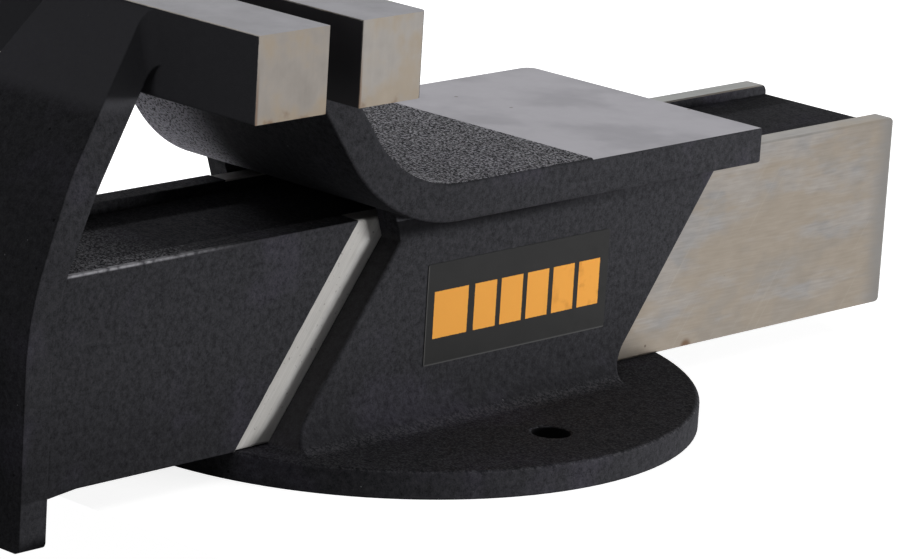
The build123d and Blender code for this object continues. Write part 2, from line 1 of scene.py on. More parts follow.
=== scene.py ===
# %% [markdown]
# # A cast-iron bench vise
# The vise is two castings and a screw. One casting stands on a round disc and carries the
# anvil and the fixed jaw; the other is a long box slide with the moving jaw on its front.
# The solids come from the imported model, so this file is about finishes: sand-cast iron under
# black enamel, milled faces, a turned screw, a printed film label. Each cell adds one of them.

import bmesh
import bpy
import math
from mathutils import Matrix, Vector


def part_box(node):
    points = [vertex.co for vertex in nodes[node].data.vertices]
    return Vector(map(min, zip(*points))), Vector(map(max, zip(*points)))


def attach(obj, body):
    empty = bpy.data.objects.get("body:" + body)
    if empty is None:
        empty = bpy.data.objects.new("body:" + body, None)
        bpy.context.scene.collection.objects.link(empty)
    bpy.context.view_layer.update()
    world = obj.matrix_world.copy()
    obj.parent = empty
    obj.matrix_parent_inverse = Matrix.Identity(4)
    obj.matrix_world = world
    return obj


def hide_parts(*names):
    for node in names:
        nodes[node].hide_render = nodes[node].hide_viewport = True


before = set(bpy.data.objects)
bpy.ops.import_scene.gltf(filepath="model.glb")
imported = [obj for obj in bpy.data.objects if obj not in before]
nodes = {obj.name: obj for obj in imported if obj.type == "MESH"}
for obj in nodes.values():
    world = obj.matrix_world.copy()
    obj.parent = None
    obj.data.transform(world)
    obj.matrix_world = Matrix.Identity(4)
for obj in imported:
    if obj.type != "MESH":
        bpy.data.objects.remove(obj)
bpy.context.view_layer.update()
MM = 0.001

# %% [markdown]
# ## Where things are
# A finish on a casting changes from place to place: paint stops where the mill began. So the
# materials need to know the heights and edges of the solids. The outer ones are read from
# the boxes of the nodes; the ones inside a node are named here. A pair is where a soft
# change starts and where it is complete.

# %% Places on the castings
jaw_plate_low, jaw_plate_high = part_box("fixed_jaw_plate")
slide_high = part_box("moving_jaw")[1]
label_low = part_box("label_plate")[0]
screw_low, screw_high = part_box("lead_screw")

JAW_TOP = jaw_plate_high.z
JAW_BOTTOM = jaw_plate_low.z
JAW_END = jaw_plate_high.x
FIXED_FACE = jaw_plate_low.y
MOVING_FRONT = -187.5 * MM
ANVIL_TOP = 127.1 * MM
ANVIL_UNDER = 109.8 * MM
ANVIL_PAD_FRONT = 52.7 * MM
SLIDE_BOTTOM = 13.3 * MM
SLIDE_TOP = 109.5 * MM
SLIDE_HALF_WIDTH = 49.0 * MM
SLIDE_REAR = slide_high.y
RAW_FOOT = -141.8 * MM
RAW_LEAN = math.tan(math.radians(36.2))
UPRIGHT_REAR = -253.0 * MM
RUST_LUMP = Vector((49.0, 160.0, 13.3)) * MM
BASE_TOP = 13.0 * MM
BOLT_HOLE_X = 109.5 * MM
RAW_ANVIL_SKIN = (125 * MM, 127 * MM)
UNDER_NECK_SKIN = (112 * MM, 116 * MM)
WALL_FRONT_TOP = (105 * MM, 100 * MM)
BETWEEN_JAWS = (-135 * MM, -138 * MM)
print("jaws", round(JAW_BOTTOM, 4), round(JAW_TOP, 4), "slide ends at", round(SLIDE_REAR, 4))

# %% [markdown]
# ## Maths on sockets
# A material is a graph of nodes, and a formula drawn as nodes is hard to read. `Tap` wraps
# one output socket and overloads the operators, so that `1 - mask * 0.5` adds its own Math
# nodes. The same class serves materials and Geometry Nodes, because both use Math nodes.

# %% A socket that can be calculated with
class Tap:
    """One output of a node tree, on which plain Python maths can be written."""

    def __init__(self, tree, socket):
        self.tree = tree
        self.socket = socket

    def maths(self, operation, *values):
        return add_node(self.tree, "Math", {"operation": operation}, dict(enumerate(values)))

    def __add__(self, other):
        return self.maths("ADD", self, other)

    def __sub__(self, other):
        return self.maths("SUBTRACT", self, other)

    def __rsub__(self, other):
        return self.maths("SUBTRACT", other, self)

    def __mul__(self, other):
        return self.maths("MULTIPLY", self, other)

    def __truediv__(self, other):
        return self.maths("DIVIDE", self, other)

    def __gt__(self, other):
        return self.maths("GREATER_THAN", self, other)

    def __lt__(self, other):
        return self.maths("LESS_THAN", self, other)

    def __abs__(self):
        return self.maths("ABSOLUTE", self)

    __radd__ = __add__
    __rmul__ = __mul__

    def at_least(self, other):
        return self.maths("MAXIMUM", self, other)

    def at_most(self, other):
        return self.maths("MINIMUM", self, other)

    def out(self, name):
        """Another output of the same node."""
        return Tap(self.tree, self.socket.node.outputs[name])


def feed(tree, socket, value):
    """Links a tap into a socket, or writes a plain value on it."""
    if isinstance(value, Tap):
        tree.links.new(value.socket, socket)
    elif hasattr(value, "__len__") and len(value) == 3 and len(socket.default_value) == 4:
        socket.default_value = (*value, 1)
    else:
        socket.default_value = value


GEOMETRY_KINDS = {"MeshGrid", "SetPosition", "MergeByDistance", "SetMaterial",
                  "RealizeInstances"}


def add_node(tree, kind, settings=None, inputs=None, output=0):
    """Adds a node: first its settings, then its sockets by name or number."""
    family = "GeometryNode" if kind in GEOMETRY_KINDS else "ShaderNode"
    node = tree.nodes.new(family + kind)
    for name, value in (settings or {}).items():
        setattr(node, name, value)
    for name, value in (inputs or {}).items():
        feed(tree, node.inputs[name], value)
    return Tap(tree, node.outputs[output])


# %% [markdown]
# ## A material under construction
# Every finish below reads the same few things: the point on the surface, the way it faces,
# noise at some grain size, and soft thresholds. `Finish` gathers them. Its constants go on
# the shader's own sockets, and only what changes over the surface is linked.

# %% The finish builder
class Finish:
    """One material, its shader and the patterns it is mixed from."""

    def __init__(self, name, constants=None):
        self.material = bpy.data.materials.new(name)
        self.material.use_nodes = True
        self.tree = self.material.node_tree
        self.shader = self.tree.nodes["Principled BSDF"]
        for socket, value in (constants or {}).items():
            feed(self.tree, self.shader.inputs[socket], value)
        spot = self.node("TexCoord")
        self.place = spot.out("Object")
        self.x, self.y, self.z = self.parts(self.place)
        self.facing_x, self.facing_y, self.facing_z = self.parts(spot.out("Normal"))

    def node(self, kind, settings=None, inputs=None, output=0):
        return add_node(self.tree, kind, settings, inputs, output)

    def parts(self, vector):
        split = self.node("SeparateXYZ", None, {0: vector})
        return split, split.out("Y"), split.out("Z")

    def stretched(self, x, y, z):
        """The place with each axis scaled by its own number, so that noise is drawn out."""
        sockets = {0: self.place, 1: (x, y, z)}
        return self.node("VectorMath", {"operation": "MULTIPLY"}, sockets)

    def noise(self, scale, detail=2.0, roughness=0.5, where=None):
        """Cloudy noise from 0 to 1 whose blots are about 1/scale metres."""
        sockets = {"Vector": where or self.place, "Scale": scale, "Detail": detail,
                   "Roughness": roughness}
        return self.node("TexNoise", None, sockets)

    def step(self, value, low, high):
        """0 before low, 1 past high, and a soft change between them."""
        settings = {"interpolation_type": "SMOOTHSTEP"}
        sockets = {"Value": value, "From Min": low, "From Max": high}
        return self.node("MapRange", settings, sockets)

    def specks(self, scale, share, size):
        """Small dots, one in some of the cells of a grid of 1/scale metres."""
        cells = self.node("TexVoronoi", None, {"Vector": self.place, "Scale": scale})
        chosen = self.parts(cells.out("Color"))[0] > 1 - share
        return chosen * self.step(cells, size, size * 0.6)

    def mix(self, factor, first, second):
        """Blends two colours."""
        return self.node("Mix", {"data_type": "RGBA"}, {0: factor, 6: first, 7: second}, 2)

    def shade(self, colour, light):
        """Multiplies a colour by a number that changes over the surface."""
        settings = {"data_type": "RGBA", "blend_type": "MULTIPLY"}
        return self.node("Mix", settings, {0: 1.0, 6: colour, 7: light}, 2)

    def bump(self, height, distance, under=None):
        """Relief whose full height is a real distance in metres."""
        sockets = {"Height": height, "Distance": distance}
        if under:
            sockets["Normal"] = under
        return self.node("Bump", None, sockets)

    def rounded(self, radius):
        """The surface direction, with sharp edges seen as if rounded by a radius."""
        return self.node("Bevel", {"samples": 4}, {"Radius": radius})

    def set(self, **sockets):
        """Links what changes over the surface."""
        for name, value in sockets.items():
            feed(self.tree, self.shader.inputs[name.replace("_", " ")], value)
        return self.material


def dress(node, material):
    """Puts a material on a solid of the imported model."""
    mesh_object = nodes[node]
    if not mesh_object.material_slots:
        mesh_object.data.materials.append(material)
    for slot in mesh_object.material_slots:
        slot.material = material


def srgb(red, green, blue):
    """A colour picked in 0-255 display values, as the linear light that shaders use."""
    def linear(value):
        share = value / 255
        return share / 12.92 if share <= 0.04045 else ((share + 0.055) / 1.055) ** 2.4
    return tuple(linear(value) for value in (red, green, blue))


# %% [markdown]
# ## Enamel on sand-cast iron
# Molten iron poured into sand keeps the grain of the sand, and one thin coat of enamel
# doesn't hide it. On the sides the grain is fine and half filled. On faces that nobody
# dresses, like the anvil's front, it is coarse, and the paint has worn off its crests, so it
# sparkles. The paint is a colour, a roughness and a relief, and `coarse` says which kind.
# Low on the casting the paint is darkened as painted shade, and here and there a pit or a speck of
# dust shows.

# %% The paint's parts
ENAMEL = srgb(52, 52, 55)
ENAMEL_CLOUD = srgb(66, 64, 73)
ENAMEL_BURIED = srgb(30, 30, 32)
GRAIN_CREST = srgb(196, 195, 201)
# near black of pits, also used for painted shade in the bolt holes and a painted shadow under the
# anvil's overhang
PIT_AND_SHADE = srgb(9, 9, 10)
DUST = srgb(150, 150, 154)
# caked dust with painted light, for the lit far part of the neck's underside
CAKED_DUST_AND_LIGHT = srgb(158, 156, 165)
# painted shade: the heights over which the walls darken towards the bottom
LOW_SHADE_HEIGHTS = (72 * MM, 14 * MM)


def enamel(finish, coarse, dust_and_light=0.0):
    """Colour, roughness and normal of painted sand casting.

    coarse runs from 0 to 1 and brings out the crests; the last argument greys the paint between
    pits, as caked dust with painted light.
    """
    sand = finish.noise(1300, detail=4, roughness=0.8)
    grit = finish.noise(760, detail=3, roughness=0.8)
    waves = finish.noise(60, detail=2)
    cloud = finish.noise(20, detail=3, roughness=0.55)
    clouded = finish.mix(finish.step(cloud, 0.52, 0.72) * 0.6, ENAMEL, ENAMEL_CLOUD)
    # painted shade: the walls get darker towards the bottom, except on faces turned to the front
    above_disc = finish.step(finish.z, BASE_TOP - 1 * MM, BASE_TOP - 0.2 * MM)
    low_shade = above_disc * finish.step(finish.z, *LOW_SHADE_HEIGHTS)
    low_shade = low_shade * finish.step(finish.facing_y, -0.7, -0.4)
    mottle = finish.noise(340, detail=3, roughness=0.7)
    base = finish.shade(clouded, (sand * 1.9 + mottle * 1.7 - 0.8) * (1 - low_shade * 0.3))
    valleys = finish.step(grit, 0.5, 0.4) * coarse
    crests = finish.step(grit + mottle * 0.2, 0.56, 0.7) * coarse
    shaded = finish.mix(valleys * 0.5, base, ENAMEL_BURIED)
    grained = finish.mix(crests * 0.9, shaded, GRAIN_CREST)
    # caked dust and painted light: the paint between pits is greyed
    pocked_dust_and_light = finish.step(grit, 0.4, 0.52) * dust_and_light
    dusted_and_lit = finish.mix(pocked_dust_and_light, grained, CAKED_DUST_AND_LIGHT)
    pits = finish.specks(105, 0.14, 0.09)
    dust = finish.specks(190, 0.045, 0.07)
    colour = finish.mix(dust * 0.6, finish.mix(pits * 0.8, dusted_and_lit, PIT_AND_SHADE), DUST)
    relief = sand * 0.3 + grit * coarse * 0.9 + waves * 0.7 - pits * 0.5
    normal = finish.bump(relief, 0.4 * MM, finish.rounded(1.2 * MM))
    roughness = 0.85 - crests * 0.2
    return colour, roughness, normal


# %% [markdown]
# ## Milled and ground iron
# Where a face has to fit or grip, the casting is milled or ground bare. Such iron isn't a
# mirror: the cutter leaves lines along its travel, and in a shop it soon turns tan where
# hands and oil have been. The lines are noise drawn out along the cut; the stains are slow
# clouds; a few pits are pores of the casting that the cutter opened.

# %% Tones of bare iron
GROUND_END = srgb(164, 159, 154)
GROUND_END_WORN = srgb(152, 146, 140)
# painted shade for the jaws' tops, darker than their ends; also the haze tone on the pad
GROUND_TOP_SHADE_AND_HAZE = srgb(129, 128, 133)
PAD = srgb(150, 148, 154)
# painted shade: the rail tops darker and greyer than the sides, the far rail more so
RAIL_TOP_SHADED = srgb(140, 137, 133)
FAR_RAIL_TOP_SHADED = srgb(134, 136, 134)
SLIDE_GREY = srgb(154, 152, 151)
SLIDE_IRON = srgb(163, 157, 151)
STRIP_IRON = srgb(186, 184, 181)
# painted light for the strip's side that lies in the wall's shadow
STRIP_IRON_PAINTED_LIGHT = srgb(206, 205, 203)
REAR_BAND = srgb(141, 139, 137)
TAN = srgb(162, 145, 120)
RUST_BROWN = srgb(112, 82, 58)
PORE = srgb(74, 54, 44)
SCRATCH = srgb(188, 181, 170)
OILED_CORNER = srgb(146, 122, 88)
STRIP_SPECK = srgb(88, 82, 78)


# %% The bare iron's parts
def bare_iron(finish, cut, tone, stain_tone, stain, line_depth=0.16):
    """Colour, roughness and normal of cut iron; cut is a place drawn out along the lines."""
    lines = finish.noise(1.0, detail=4, roughness=0.7, where=cut)
    patches = finish.noise(90, detail=3, roughness=0.6)
    pores = finish.specks(62, 0.24, 0.075)
    lined = finish.shade(tone, 1 + (lines - 0.5) * (2 * line_depth))
    worn = finish.shade(lined, 0.93 + patches * 0.14)
    stained = finish.mix(stain, worn, stain_tone)
    colour = finish.mix(pores * 0.65, stained, PORE)
    roughness = 0.4 + lines * 0.12 + stain * 0.12
    return colour, roughness, finish.bump(lines, 0.018 * MM)


def ground_jaw(finish):
    """Ground iron as on the ends and tops of both jaws, whatever piece it lies on."""
    upward = finish.step(finish.facing_z, 0.5, 0.7)
    moving = finish.step(finish.y, *BETWEEN_JAWS)
    end_tone = finish.mix(moving, GROUND_END, GROUND_END_WORN)
    drift = finish.noise(46, detail=3, roughness=0.6)
    # painted shade: the tops take a darker, greyer tone than the ends of the same ground iron
    tone = finish.shade(finish.mix(upward, end_tone, GROUND_TOP_SHADE_AND_HAZE), 0.68 + drift * 0.64)
    low = finish.step(finish.z, JAW_BOTTOM + 12 * MM, JAW_BOTTOM - 2 * MM)
    stain = finish.step(drift + low * 0.16, 0.5, 0.72) * (1 - upward)
    along = finish.stretched(900, 300, 26)
    colour, roughness, normal = bare_iron(finish, along, tone, TAN, stain * 0.5, 0.1)
    foot = finish.step(finish.noise(75, detail=4) + low * 0.3, 0.78, 0.94)
    corner = finish.step(abs(finish.y - FIXED_FACE), 1.5 * MM, 0.3 * MM).at_least(
        finish.step(finish.y, MOVING_FRONT + 1.5 * MM, MOVING_FRONT + 0.3 * MM))
    corner = corner * finish.step(finish.z, JAW_TOP - 8 * MM, JAW_BOTTOM + 8 * MM)
    rusty = (foot * 0.6).at_least(corner * 0.6) * (1 - upward)
    return finish.mix(rusty, colour, RUST_BROWN), roughness, normal


def ground_mask(finish):
    """1 on the ends and the top of the jaw bars, where they were ground."""
    wander = finish.noise(240, detail=3) * (0.5 * MM)
    jaw_height = finish.step(finish.z, JAW_BOTTOM - 0.6 * MM, JAW_BOTTOM - 0.1 * MM)
    end = finish.step(abs(finish.x) + wander, JAW_END - 0.5 * MM, JAW_END) * jaw_height
    top = finish.step(finish.z + wander, JAW_TOP - 0.4 * MM, JAW_TOP)
    return end.at_least(top)


# %% [markdown]
# ## Two finishes on one casting
# Paint and bare metal meet inside one solid, so one material holds both and a mask picks
# between them. The mask is built from the place: above this height, behind that line. A
# little noise on the line keeps the paint's edge from looking drawn with a ruler.

# %% Joining finishes
def blended(finish, mask, under, over):
    """Colour, roughness and normal of under where mask is 0 and of over where it is 1."""
    colour = finish.mix(mask, under[0], over[0])
    roughness = under[1] * (1 - mask) + over[1] * mask
    sockets = {0: mask, 4: under[2], 5: over[2]}
    return colour, roughness, finish.node("Mix", {"data_type": "VECTOR"}, sockets, 1)


def painted_and_bare(finish, bare, paint, iron, sheen):
    """The material of a casting: bare where the mask is 1, and metallic by its sheen."""
    colour, roughness, normal = blended(finish, bare, paint, iron)
    return finish.set(Base_Color=colour, Roughness=roughness, Metallic=sheen, Normal=normal)


MATT_PAINT = {"Specular IOR Level": 0.03}

# %% [markdown]
# ## The fixed casting
# Bare places: the milled pad on the anvil's rear, and the ends and top of the jaw bar. The
# anvil's front and the swept neck keep the coarse skin of the mould above and below, while
# their sides were dressed smooth. The disc's top is a little rough too. Then come painted
# light and shade: dust with painted light on the leaning front of the walls, caked dust with
# painted light on the far part of the neck's underside, painted shade inside the bolt holes,
# and a painted shadow in the crease under the anvil's overhang.

# %% Dust, painted light, painted shade and painted shadow on the fixed casting
# dust with painted light on the front of the walls
WALL_DUST_AND_LIGHT = srgb(82, 80, 80)
# painted shadow under the anvil's overhang: its depth and where it fades
CREASE_SHADOW_DEPTH = (12 * MM, 4 * MM)
CREASE_SHADOW_FADES = (120 * MM, 20 * MM)
DISC_GRAIN = (17 * MM, 14 * MM)
HOLE_SHADE_REACH = (10 * MM, 9.2 * MM)

# %% Finish of the fixed casting
def fixed_casting():
    finish = Finish("enamelled_casting_fixed", MATT_PAINT)
    behind = finish.step(finish.y, ANVIL_PAD_FRONT - 0.4 * MM, ANVIL_PAD_FRONT + 0.2 * MM)
    level = finish.step(abs(finish.z - ANVIL_TOP), 0.5 * MM, 0.3 * MM)
    pad = behind * level * (finish.facing_z > 0.7)
    jaws = ground_mask(finish)
    above = finish.step(finish.facing_z, 0.2, 0.4) * finish.step(finish.z, *RAW_ANVIL_SKIN)
    above = above * finish.step(abs(finish.facing_x), 0.4, 0.15)
    below = finish.step(finish.facing_z, -0.35, -0.5) * finish.step(finish.z, *UNDER_NECK_SKIN)
    far = finish.step(finish.x, -12 * MM, -44 * MM)
    disc = finish.step(finish.facing_z, 0.3, 0.7) * finish.step(finish.z, *DISC_GRAIN)
    coarse = above.at_least(disc * 0.08)
    # the far part of the neck's underside gets caked dust with painted light
    colour, roughness, normal = enamel(finish, coarse, below * far)

    # painted shade: the inside of each bolt hole is made near black
    from_hole = finish.node("VectorMath", {"operation": "DISTANCE"}, {
        0: finish.node("CombineXYZ", None, {"X": abs(finish.x), "Y": finish.y, "Z": 0.0}),
        1: (BOLT_HOLE_X, 0, 0)}, 1)
    hole_shade = finish.step(from_hole, *HOLE_SHADE_REACH)
    hole_shade = hole_shade * finish.step(finish.z, BASE_TOP - 0.1 * MM, BASE_TOP - 0.8 * MM)
    # dust and painted light: faces turned to the front are lightened between the disc and the
    # anvil
    front_dust_and_light = finish.step(finish.facing_y, -0.5, -0.7) * finish.step(finish.z, *WALL_FRONT_TOP)
    front_dust_and_light = front_dust_and_light * finish.step(finish.z, BASE_TOP, BASE_TOP + 2 * MM)
    front_dusted_and_lit = finish.mix(front_dust_and_light * 0.3, colour, WALL_DUST_AND_LIGHT)

    # painted shadow in the crease under the anvil's overhang, thinner towards the rear
    crease_shadow = finish.step(ANVIL_UNDER - finish.z, *CREASE_SHADOW_DEPTH)
    crease_shadow = crease_shadow * (finish.z < ANVIL_UNDER + 0.1 * MM)
    crease_shadow = crease_shadow * (0.15 + finish.step(finish.y, *CREASE_SHADOW_FADES) * 0.7)
    crease_shadow = crease_shadow * finish.step(abs(finish.facing_x), 0.5, 0.7)
    crease_shadowed = finish.mix(crease_shadow, front_dusted_and_lit, PIT_AND_SHADE)
    paint = finish.mix(hole_shade, crease_shadowed, PIT_AND_SHADE), roughness, normal

    haze = finish.step(finish.noise(24, detail=4), 0.4, 0.66) * 0.5
    pad_iron = bare_iron(finish, finish.stretched(700, 20, 700), PAD, GROUND_TOP_SHADE_AND_HAZE, haze, 0.08)
    iron = blended(finish, jaws, pad_iron, ground_jaw(finish))
    bare = pad.at_least(jaws)
    return painted_and_bare(finish, bare, paint, iron, bare)


dress("fixed_body", fixed_casting())

# %% [markdown]
# ## The moving casting
# The slide is milled on its sides and rails from its rear end to a slanting line in front of
# the body; ahead of that line it keeps its paint. The trough along its top is as cast, and
# so are the rails of the painted part, whose outer edge is rubbed bright and carries a
# painted highlight. The trough is darkened as painted shade, and its sparkle is cut most
# under the anvil. The milled rail tops are painted darker than the sides as painted shade,
# the far one most. The strip of bare iron in front of the body was dressed along its
# length, so its lines run up the slant. It is duller than a metal, because what it could
# mirror is the dark wall right beside it; its side by the wall lies in the wall's shadow and
# is painted brighter, as painted light. The jaw bar's paint is lighter than the rest, as
# painted light.

# %% Worn, stained, painted-light and painted-shade places of the moving casting
# painted light: a lighter paint for the jaw bar
BAR_PAINTED_LIGHT = srgb(76, 76, 80)
# rubbed bright paint with a painted highlight on the rails' outer edge
RUBBED_AND_HIGHLIGHT = srgb(168, 167, 172)
# painted shade: where the trough's sparkle is cut under the anvil
UNDER_ANVIL_SHADE_REACH = (-215 * MM, -150 * MM)
RIM_FADES = (-135 * MM, -215 * MM)
STRIP_WIDTH = (34 * MM, 33 * MM)
STRIP_PAINTED_LIGHT_REACH = (11 * MM, 16 * MM)
REAR_BAND_REACH = (24 * MM, 9 * MM)
RUST_LUMP_SIZE = (5 * MM, 2 * MM)

# %% Finish of the moving casting
def moving_casting():
    finish = Finish("enamelled_casting_moving", MATT_PAINT)
    jaws = ground_mask(finish)
    under_jaws = finish.step(finish.z, JAW_BOTTOM - 20 * MM, JAW_BOTTOM - 30 * MM)

    # where the mill went
    behind_line = finish.y - RAW_FOOT - (finish.z - SLIDE_BOTTOM) * RAW_LEAN
    ragged = finish.noise(170, detail=3) * (1.4 * MM)
    run = finish.step(behind_line + ragged, 0.5 * MM, 0.9 * MM)
    on_slide = finish.step(finish.z, SLIDE_TOP + 1.2 * MM, SLIDE_TOP + 0.6 * MM)
    side = finish.step(abs(finish.x), SLIDE_HALF_WIDTH - 1.4 * MM, SLIDE_HALF_WIDTH - 1.0 * MM)
    rail = finish.step(finish.z, SLIDE_TOP - 1.0 * MM, SLIDE_TOP - 0.6 * MM)
    milled = run * on_slide * side.at_least(rail)

    # iron of the slide's sides: marks of the planer along its length in two sizes, tan clouds
    # drawn out the same way, and faint scratches that run up the slant
    clouds = finish.noise(1.0, detail=4, roughness=0.62, where=finish.stretched(20, 12, 45))
    fine_marks = finish.noise(1.0, detail=3, where=finish.stretched(900, 62, 900))
    broad_marks = finish.noise(1.0, detail=2, where=finish.stretched(250, 110, 250))
    blotches = finish.noise(1.0, detail=3, roughness=0.55, where=finish.stretched(45, 26, 38))
    greyish = finish.mix(finish.step(blotches, 0.48, 0.6) * 0.8, SLIDE_IRON, SLIDE_GREY)
    # painted shade: the rail tops darker and greyer than the sides, the far rail more so
    on_rail = finish.step(finish.facing_z, 0.3, 0.6)
    rail_top_shaded = finish.mix(on_rail * 0.8, greyish, RAIL_TOP_SHADED)
    far_rail = on_rail * finish.step(finish.x, 10 * MM, -10 * MM)
    rails_shaded = finish.mix(far_rail * 0.85, rail_top_shaded, FAR_RAIL_TOP_SHADED)
    marked = finish.shade(rails_shaded, 0.68 + fine_marks * 0.4 + broad_marks * 0.24)
    low_left = finish.step(finish.z * 1.6 - finish.y * 0.5, 60 * MM, -60 * MM)
    stain = finish.step(clouds + low_left * 0.12, 0.47, 0.62) * 0.37 * (1 - far_rail)
    plain = bare_iron(finish, finish.stretched(1100, 22, 1100), marked, TAN, stain, 0.1)
    slanted = finish.node("CombineXYZ", None, {
        "X": behind_line * 420, "Y": finish.z * 9, "Z": finish.x * 30})
    scratches = finish.step(finish.noise(1.0, detail=2, where=slanted), 0.64, 0.76)
    scratched = finish.mix(scratches * 0.25, plain[0], SCRATCH)
    end_gap = SLIDE_REAR - finish.y
    rear_band = finish.step(end_gap + clouds * (10 * MM), *REAR_BAND_REACH)
    band_tone = finish.shade(REAR_BAND, 0.8 + blotches * 0.4)
    banded = finish.mix(rear_band * 0.85, scratched, band_tone)
    corner = finish.step(finish.y * 0.7 + finish.z, 98 * MM, 76 * MM) * clouds
    browned = finish.mix(corner * 0.9, banded, OILED_CORNER)
    from_lump = finish.node("VectorMath", {"operation": "DISTANCE"}, {
        0: finish.place, 1: RUST_LUMP}, 1)
    lump = finish.step(from_lump, *RUST_LUMP_SIZE)
    side_colour = finish.mix(lump * 0.8, browned, RUST_BROWN)

    # the strip in front of the body
    strip = finish.step(behind_line, *STRIP_WIDTH)
    brush = finish.node("CombineXYZ", None, {
        "X": behind_line * 1200, "Y": finish.z * 30, "Z": finish.x * 30})
    # painted light: the strip's side next to the wall, which lies in the wall's shadow, is made
    # brighter
    painted_light_side = finish.step(behind_line + finish.noise(120) * (4 * MM), *STRIP_PAINTED_LIGHT_REACH)
    strip_tone = finish.mix(painted_light_side, STRIP_IRON, STRIP_IRON_PAINTED_LIGHT)
    specked = finish.step(finish.noise(520, detail=2), 0.66, 0.74)
    soiled = finish.mix(specked * 0.5, strip_tone, STRIP_SPECK)
    strip_iron = bare_iron(finish, brush, soiled, TAN, clouds * 0.06, 0.3)
    side_iron = blended(finish, strip, (side_colour, plain[1], plain[2]), strip_iron)
    iron = blended(finish, jaws, side_iron, ground_jaw(finish))

    # coarse places: the trough and the unmilled rails, darkened as painted shade, with their
    # sparkle cut most where the anvil is over them
    high = finish.step(finish.z, SLIDE_TOP - 9 * MM, SLIDE_TOP - 7 * MM) * on_slide
    under_anvil_shade = finish.step(finish.y, *UNDER_ANVIL_SHADE_REACH)
    trough = high * finish.step(finish.facing_z, 0.4, 0.7)
    paint = enamel(finish, trough * (0.62 - under_anvil_shade * 0.56))
    trough_shaded = finish.shade(paint[0], 1 - trough * 0.3)
    # painted light: the paint of the jaw bar is made lighter
    on_bar = finish.step(finish.z, JAW_BOTTOM - 6 * MM, JAW_BOTTOM + 2 * MM)
    bar_lightened = finish.mix(on_bar * 0.8, trough_shaded, BAR_PAINTED_LIGHT)
    # the rails' outer top edge: rubbed bright paint with a painted highlight, fading towards the
    # rear
    edge_height = finish.step(finish.z, SLIDE_TOP - 1.6 * MM, SLIDE_TOP - 0.6 * MM)
    rim = finish.step(abs(finish.x), SLIDE_HALF_WIDTH - 1.9 * MM, SLIDE_HALF_WIDTH - 1.2 * MM)
    rim = rim * edge_height * on_slide * (abs(finish.x) < SLIDE_HALF_WIDTH + 1 * MM)
    rim = rim * (finish.y > UPRIGHT_REAR)
    patchy = finish.step(finish.noise(260, detail=3), 0.2, 0.6)
    fading = finish.step(finish.y, *RIM_FADES)
    rubbed_and_highlit = finish.mix(rim * patchy * fading, bar_lightened, RUBBED_AND_HIGHLIGHT)
    paint = rubbed_and_highlit, paint[1], paint[2]
    bare = (milled * under_jaws).at_least(jaws)
    sheen = bare * (1 - milled * strip * 0.95)
    return painted_and_bare(finish, bare, paint, iron, sheen)


dress("moving_jaw", moving_casting())

# %% [markdown]
# ## Jaw plates
# Each jaw has a hardened plate let into its bar and ground flush with it, so on the ends and
# the top the two read as one piece. Only the gripping face looks different: dark from the
# quench and darker still as painted shade of the narrow gap between the jaws, with a faint
# mottle.

# %% Finish of the jaw plates
# dark quench tones, darker still as painted shade of the gap between the jaws
QUENCHED_AND_SHADED = srgb(24, 23, 27)
QUENCHED_PALE_AND_SHADED = srgb(42, 40, 42)


def jaw_plate_steel():
    finish = Finish("ground_jaw_plate", {"Specular IOR Level": 0.2})
    flush = ground_mask(finish)
    mottle = finish.noise(60, detail=4)
    # dark quench colour, made darker still as painted shade of the gap between the jaws
    face = finish.mix(mottle, QUENCHED_AND_SHADED, QUENCHED_PALE_AND_SHADED)
    scale = face, 0.5 + mottle * 0.1, finish.bump(mottle, 0.05 * MM)
    colour, roughness, normal = blended(finish, flush, scale, ground_jaw(finish))
    metallic = 0.3 + flush * 0.7
    return finish.set(Base_Color=colour, Roughness=roughness, Metallic=metallic, Normal=normal)


jaw_plate_finish = jaw_plate_steel()
dress("fixed_jaw_plate", jaw_plate_finish)
dress("moving_jaw_plate", jaw_plate_finish)

# %% [markdown]
# ## Fasteners, washers, spring and nut
# Socket screws are blackened, washers and the spring are plain oiled steel, and the nut is
# iron left as the machine cut it. They share one recipe with different tones.

# %% Small steel parts
def plain_steel(name, tone, roughness, grain=900):
    finish = Finish(name, {"Metallic": 1.0})
    cloud = finish.noise(120, detail=3)
    fine = finish.noise(grain, detail=2)
    return finish.set(
        Base_Color=finish.shade(tone, 0.8 + cloud * 0.3),
        Roughness=roughness + fine * 0.15,
        Normal=finish.bump(fine, 0.015 * MM),
    )


blackened = plain_steel("blackened_steel", srgb(84, 84, 88), 0.35)
oiled = plain_steel("oiled_spring_steel", srgb(122, 118, 116), 0.3)
washer_steel = plain_steel("washer_steel", srgb(158, 157, 156), 0.34)
nut_iron = plain_steel("machined_nut_iron", srgb(104, 100, 96), 0.48, grain=500)
for fastener in ("fixed_jaw_screws", "moving_jaw_screws", "nut_bolts", "nut_lock_washers"):
    dress(fastener, blackened)
for sprung in ("take_up_spring", "split_pin"):
    dress(sprung, oiled)
for washer in ("thrust_washer", "spring_washer"):
    dress(washer, washer_steel)
dress("lead_nut", nut_iron)

# %% [markdown]
# ## Handle
# The bar is bright drawn steel with faint draw lines along it, and the knobs are turned, so
# their lines run round. Both lie along X, which makes the lines simple: noise drawn out
# along X for the bar, and across X for the knobs.

# %% Handle finishes
def lined_steel(name, stretch, tone):
    finish = Finish(name, {"Metallic": 1.0})
    lines = finish.noise(1.0, detail=3, roughness=0.6, where=finish.stretched(*stretch))
    smears = finish.noise(45, detail=3)
    return finish.set(
        Base_Color=finish.shade(tone, 0.84 + smears * 0.2),
        Roughness=0.2 + lines * 0.14 + smears * 0.1,
        Normal=finish.bump(lines, 0.012 * MM),
    )


